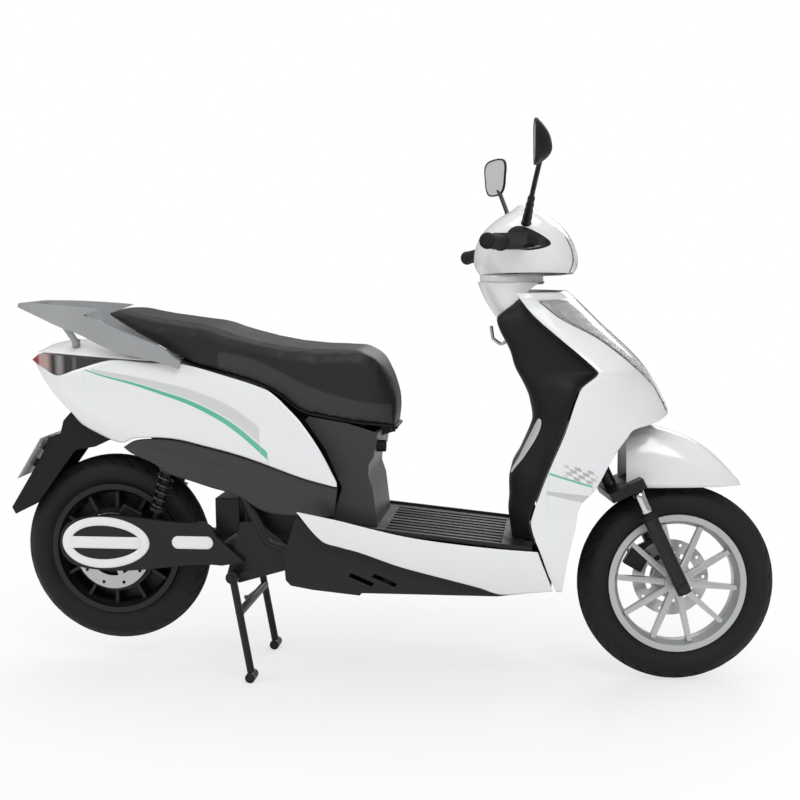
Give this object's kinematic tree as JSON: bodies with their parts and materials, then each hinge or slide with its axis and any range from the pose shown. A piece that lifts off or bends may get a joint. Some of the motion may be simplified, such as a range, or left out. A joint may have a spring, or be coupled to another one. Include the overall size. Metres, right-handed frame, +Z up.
{
  "type": "electric motor scooter",
  "caption": "Step-through electric scooter on its centre stand: hub-motor rear wheel, turned front fork, lifting seat and white fairings.",
  "frame": {"origin": "on the ground under the middle of the vehicle's length, on its centre plane, at the height of the stand's feet", "axes": "+X points forward, +Y to the rider's left, +Z up"},
  "size_m": [1.8487, 0.7594, 1.2967],
  "materials": {
    "white_gloss": "gloss white moulding",
    "black_plastic": "fine-grained black moulding",
    "dark_plastic": "satin charcoal moulding",
    "clear_lens": "clear moulded lens",
    "lamp_lens": "red and clear lens",
    "silver_alloy": "satin silver paint on cast alloy",
    "black_steel": "black paint on steel",
    "battery_case": "dark case",
    "bright_steel": "zinc plated",
    "stem_steel": "ground steel",
    "fork_black": "black paint on alloy",
    "black_alloy": "black paint on alloy",
    "plate_blank": "bare white plate",
    "seat_vinyl": "grained black vinyl over foam",
    "tyre_rubber": "black rubber",
    "grip_rubber": "soft black rubber",
    "motor_alloy": "black paint on cast alloy",
    "wheel_alloy": "silver paint on cast alloy",
    "disc_steel": "ground steel",
    "mirror_glass": "silvered glass"
  },
  "bodies": {
    "chassis": {"main_frame": "black_steel", "battery_pack": "battery_case", "floorboard": "dark_plastic", "belly_pan": "dark_plastic", "side_skirts": "white_gloss", "front_cover": "white_gloss", "front_lamps": "clear_lens", "inner_legshield": "black_plastic", "neck_cover": "white_gloss", "bag_hook": "bright_steel", "seat_pillar": "dark_plastic", "charging_port": "black_plastic", "load_tub": "black_plastic", "side_panels": "white_gloss", "lower_covers": "dark_plastic", "tail_cover": "white_gloss", "tail_lamp": "lamp_lens", "grab_rail": "silver_alloy", "rear_mudguard": "black_plastic", "number_plate": "plate_blank", "swingarm": "black_steel", "swingarm_cover": "dark_plastic", "rear_shocks": "black_steel", "rear_axle": "bright_steel", "rear_caliper": "black_alloy"},
    "stand": {"centre_stand": "black_steel"},
    "seat": {"seat_cushion": "seat_vinyl", "seat_base": "black_plastic"},
    "rear_wheel": {"rear_tyre": "tyre_rubber", "rear_hub_motor": "motor_alloy", "rear_brake_disc": "disc_steel"},
    "steering": {"steering_stem": "stem_steel", "fork_legs": "fork_black", "front_caliper": "black_alloy", "front_fender": "white_gloss", "handlebar": "black_steel", "hand_grips": "grip_rubber", "brake_levers": "black_alloy", "handlebar_cowl": "white_gloss", "headlamp_lens": "clear_lens", "mirrors": "black_plastic", "mirror_glasses": "mirror_glass"},
    "front_wheel": {"front_tyre": "tyre_rubber", "front_wheel_rim": "wheel_alloy", "front_brake_disc": "disc_steel"}
  },
  "joints": [
    {"name": "steering_turn", "type": "hinge", "parent": "chassis", "child": "steering", "pos_m": [0.65599, 0, 0.21507], "axis": [-0.4226, 0, 0.9063], "range_deg": [-46.7, 29.3]},
    {"name": "front_wheel_spin", "type": "hinge", "parent": "steering", "child": "front_wheel", "pos_m": [0.69362, 0.00635, 0.23261], "axis": [-0.1371, 0.9885, -0.0639], "continuous": true},
    {"name": "rear_wheel_spin", "type": "hinge", "parent": "chassis", "child": "rear_wheel", "pos_m": [-0.67094, 0, 0.293], "axis": [0, 1, 0], "continuous": true},
    {"name": "stand_fold", "type": "hinge", "parent": "chassis", "child": "stand", "pos_m": [-0.34994, 0, 0.253], "axis": [0, 1, 0], "range_deg": [0, 75]},
    {"name": "seat_lift", "type": "hinge", "parent": "chassis", "child": "seat", "pos_m": [0.02106, 0, 0.598], "axis": [0, 1, 0], "range_deg": [0, 75]}
  ]
}
